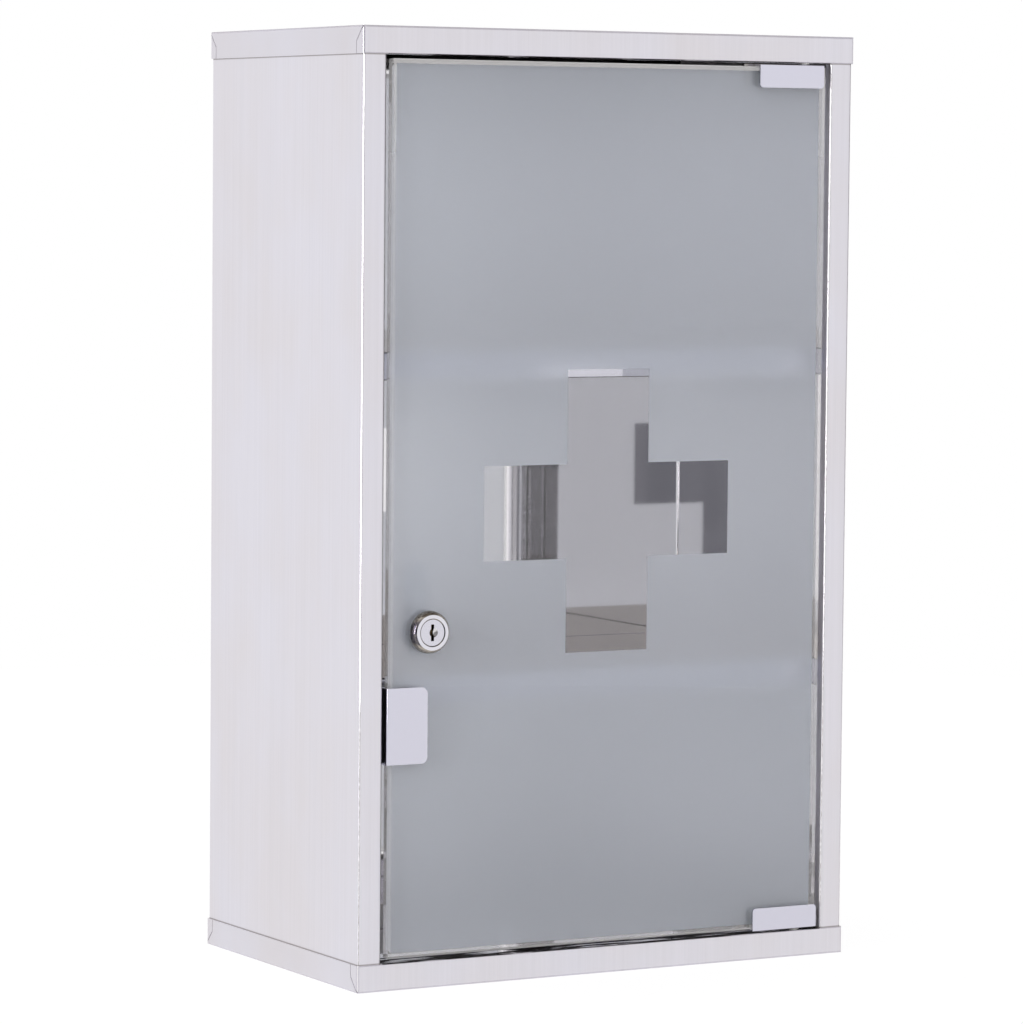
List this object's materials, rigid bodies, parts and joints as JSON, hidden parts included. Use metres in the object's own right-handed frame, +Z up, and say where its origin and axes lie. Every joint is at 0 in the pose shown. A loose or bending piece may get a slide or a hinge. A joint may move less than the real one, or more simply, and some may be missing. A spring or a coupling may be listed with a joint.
{
  "type": "lockable medicine cabinet",
  "caption": "Wall-hung medicine cabinet of folded steel with fixed shelves and a frosted glass door on pivot clips, with a clip handle and a cam lock.",
  "frame": {"origin": "centre of the cabinet's underside, where the bottom cap's faces meet at the middle of the body's width and depth", "axes": "+Z up along the cabinet's height, +X to the right seen from the front, +Y from the door to the wall"},
  "size_m": [0.3, 0.1836, 0.5],
  "materials": {
    "steel_sheet": "bright brushed stainless sheet, grain running up and down",
    "rivet_metal": "satin",
    "nylon": "natural nylon",
    "black_plastic": "moulded, fine grain",
    "ferrite": "sintered magnet",
    "zinc_steel": "zinc plated steel",
    "glass": "clear, polished, ground edges",
    "frosting": "frosted translucent film",
    "chrome": "bright plated",
    "clear_liner": "thin clear plastic",
    "black_screw": "blackened steel",
    "lock_face": "satin chrome",
    "brass": "stamped",
    "spring_steel": "drawn wire"
  },
  "bodies": {
    "cabinet": {"body_shell": "steel_sheet", "top_cap": "steel_sheet", "bottom_cap": "steel_sheet", "lower_shelf": "steel_sheet", "upper_shelf": "steel_sheet", "shelf_rivets": "rivet_metal", "upper_bush": "nylon", "lower_bush": "nylon", "catch_housing": "black_plastic", "catch_magnet": "ferrite", "catch_poles": "zinc_steel", "catch_screws": "zinc_steel"},
    "door": {"door_glass": "glass", "frost_film": "frosting", "upper_hinge_clip": "chrome", "lower_hinge_clip": "chrome", "hinge_liners": "clear_liner", "hinge_grub_screws": "black_screw", "upper_pivot_pin": "zinc_steel", "lower_pivot_pin": "zinc_steel", "handle_clip": "chrome", "handle_liner": "clear_liner", "handle_grub_screws": "black_screw", "lock_housing": "chrome", "lock_gasket": "clear_liner", "lock_washer": "zinc_steel", "lock_nut": "zinc_steel"},
    "lock": {"lock_plug": "lock_face", "lock_wafers": "brass", "wafer_springs": "spring_steel", "lock_cam": "zinc_steel", "cam_washer": "zinc_steel", "cam_screw": "zinc_steel"}
  },
  "joints": [
    {"name": "door_swing", "type": "hinge", "parent": "cabinet", "child": "door", "pos_m": [0.12, -0.086, 0.25], "axis": [0, 0, 1], "range_deg": [0, 135]},
    {"name": "lock_turn", "type": "hinge", "parent": "door", "child": "lock", "pos_m": [-0.1089, -0.08, 0.1867], "axis": [0, -1, 0], "range_deg": [0, 90]}
  ]
}
